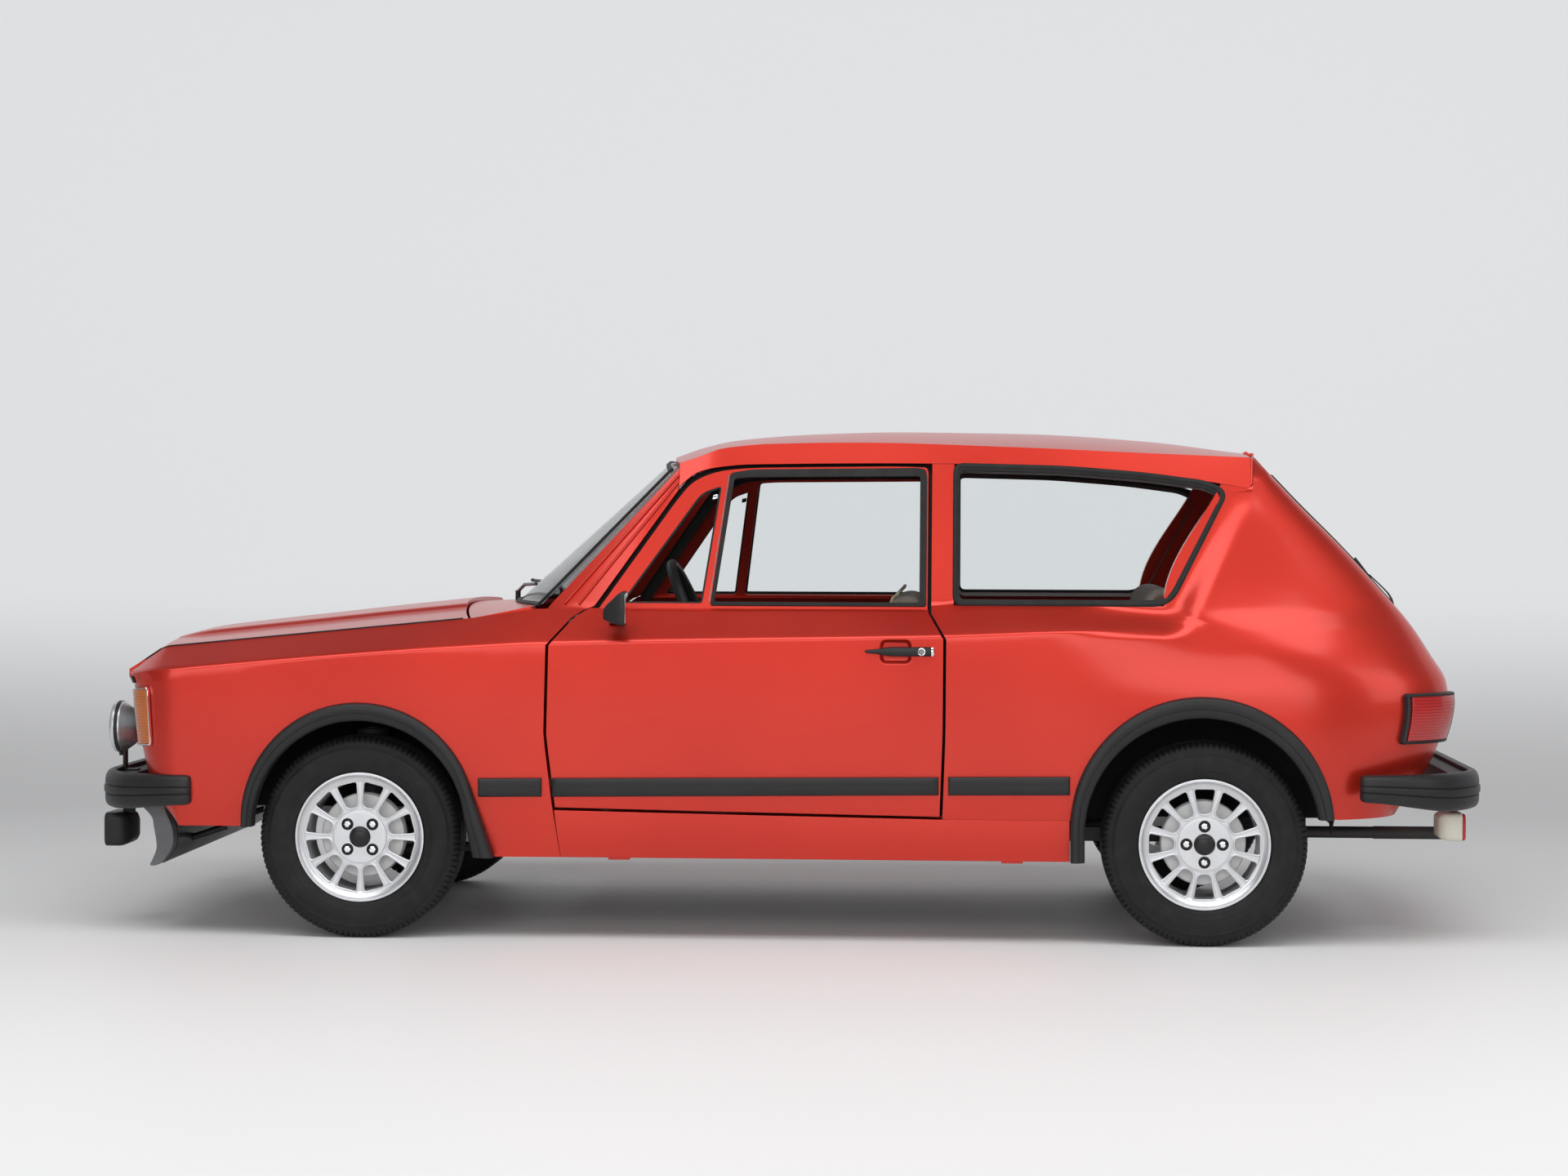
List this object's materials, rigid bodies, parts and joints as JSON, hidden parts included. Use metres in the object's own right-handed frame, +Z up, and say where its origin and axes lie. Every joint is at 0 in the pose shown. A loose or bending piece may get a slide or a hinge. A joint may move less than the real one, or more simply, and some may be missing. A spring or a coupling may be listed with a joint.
{
  "type": "three-door hatchback concept car",
  "caption": "Red three-door hatchback concept car with black bumpers and arch trims, silver slotted alloy wheels, round lamps on the front bumper and a sloping tail.",
  "frame": {"origin": "on the floor under the middle of the car's length and width", "axes": "the car faces -X, its left side is at -Y, +Z is up"},
  "size_m": [3.95, 1.66, 1.444],
  "materials": {
    "paint": "red metallic paint",
    "black_trim": "matt black moulding",
    "dark_steel": "black chassis paint",
    "glass": "clear safety glass",
    "alloy": "satin silver",
    "tyre": "black rubber",
    "seat_cloth": "brown cloth",
    "lamp_clear": "clear lens",
    "lamp_amber": "amber lens",
    "lamp_red": "dark red lens",
    "grey_spoiler": "grey moulding",
    "pipe_steel": "dull steel",
    "cast": "cast metal"
  },
  "bodies": {
    "body": {"floor_pan": "dark_steel", "front_wings": "paint", "rear_quarters": "paint", "roof": "paint", "windscreen_frame": "paint", "sills": "paint", "front_panel": "paint", "grille": "black_trim", "headlamps": "lamp_clear", "indicators": "lamp_amber", "rear_panel": "paint", "tail_lamps": "lamp_red", "front_bumper": "black_trim", "rear_bumper": "black_trim", "arch_trims": "black_trim", "side_strips": "black_trim", "windscreen": "glass", "quarter_glass": "glass", "wheel_houses": "dark_steel", "auxiliary_lamps": "black_trim", "front_spoiler": "grey_spoiler", "rear_fog_lamp": "lamp_red", "exhaust": "pipe_steel", "engine": "cast", "front_axle": "dark_steel", "rear_axle": "dark_steel", "dashboard": "black_trim", "front_seats": "seat_cloth", "rear_seat": "seat_cloth", "front_wipers": "black_trim"},
    "door_left": {"door_left": "paint", "door_left_glass": "glass", "door_left_fittings": "black_trim"},
    "door_right": {"door_right": "paint", "door_right_glass": "glass", "door_right_fittings": "black_trim"},
    "bonnet": {"bonnet": "paint"},
    "tailgate": {"tailgate": "paint", "tailgate_glass": "glass", "rear_wiper": "black_trim"},
    "steering_wheel": {"steering_wheel": "black_trim"},
    "knuckle_left": {"knuckle_left": "dark_steel"},
    "knuckle_right": {"knuckle_right": "dark_steel"},
    "wheel_front_left": {"rim_front_left": "alloy", "tyre_front_left": "tyre"},
    "wheel_front_right": {"rim_front_right": "alloy", "tyre_front_right": "tyre"},
    "wheel_rear_left": {"rim_rear_left": "alloy", "tyre_rear_left": "tyre"},
    "wheel_rear_right": {"rim_rear_right": "alloy", "tyre_rear_right": "tyre"}
  },
  "joints": [
    {"name": "door_left_hinge", "type": "hinge", "parent": "body", "child": "door_left", "pos_m": [-0.63, -0.772, 0.6], "axis": [0, 0, -1], "range_deg": [0, 62]},
    {"name": "door_right_hinge", "type": "hinge", "parent": "body", "child": "door_right", "pos_m": [-0.63, 0.772, 0.6], "axis": [0, 0, 1], "range_deg": [0, 62]},
    {"name": "bonnet_hinge", "type": "hinge", "parent": "body", "child": "bonnet", "pos_m": [-0.887, 0, 0.916], "axis": [0, 1, 0], "range_deg": [0, 55]},
    {"name": "tailgate_hinge", "type": "hinge", "parent": "body", "child": "tailgate", "pos_m": [1.324, 0, 1.378], "axis": [0, -1, 0], "range_deg": [0, 75]},
    {"name": "steer_left", "type": "hinge", "parent": "body", "child": "knuckle_left", "pos_m": [-1.1825, -0.535, 0.285], "axis": [0, 0, 1], "range_deg": [-30, 30]},
    {"name": "steer_right", "type": "hinge", "parent": "body", "child": "knuckle_right", "pos_m": [-1.1825, 0.535, 0.285], "axis": [0, 0, 1], "range_deg": [-30, 30]},
    {"name": "steering_wheel_turn", "type": "hinge", "parent": "body", "child": "steering_wheel", "pos_m": [-0.267, -0.35, 0.895], "axis": [0.9135, 0, 0.4067], "range_deg": [-480, 480]},
    {"name": "wheel_front_left_spin", "type": "hinge", "parent": "knuckle_left", "child": "wheel_front_left", "pos_m": [-1.1825, -0.665, 0.285], "axis": [0, 1, 0], "continuous": true},
    {"name": "wheel_front_right_spin", "type": "hinge", "parent": "knuckle_right", "child": "wheel_front_right", "pos_m": [-1.1825, 0.665, 0.285], "axis": [0, 1, 0], "continuous": true},
    {"name": "wheel_rear_left_spin", "type": "hinge", "parent": "body", "child": "wheel_rear_left", "pos_m": [1.1825, -0.665, 0.285], "axis": [0, 1, 0], "continuous": true},
    {"name": "wheel_rear_right_spin", "type": "hinge", "parent": "body", "child": "wheel_rear_right", "pos_m": [1.1825, 0.665, 0.285], "axis": [0, 1, 0], "continuous": true}
  ],
  "couplings": [
    {"joint": "steer_right", "follows": "steer_left", "ratio": 1},
    {"joint": "steering_wheel_turn", "follows": "steer_left", "ratio": 16}
  ]
}
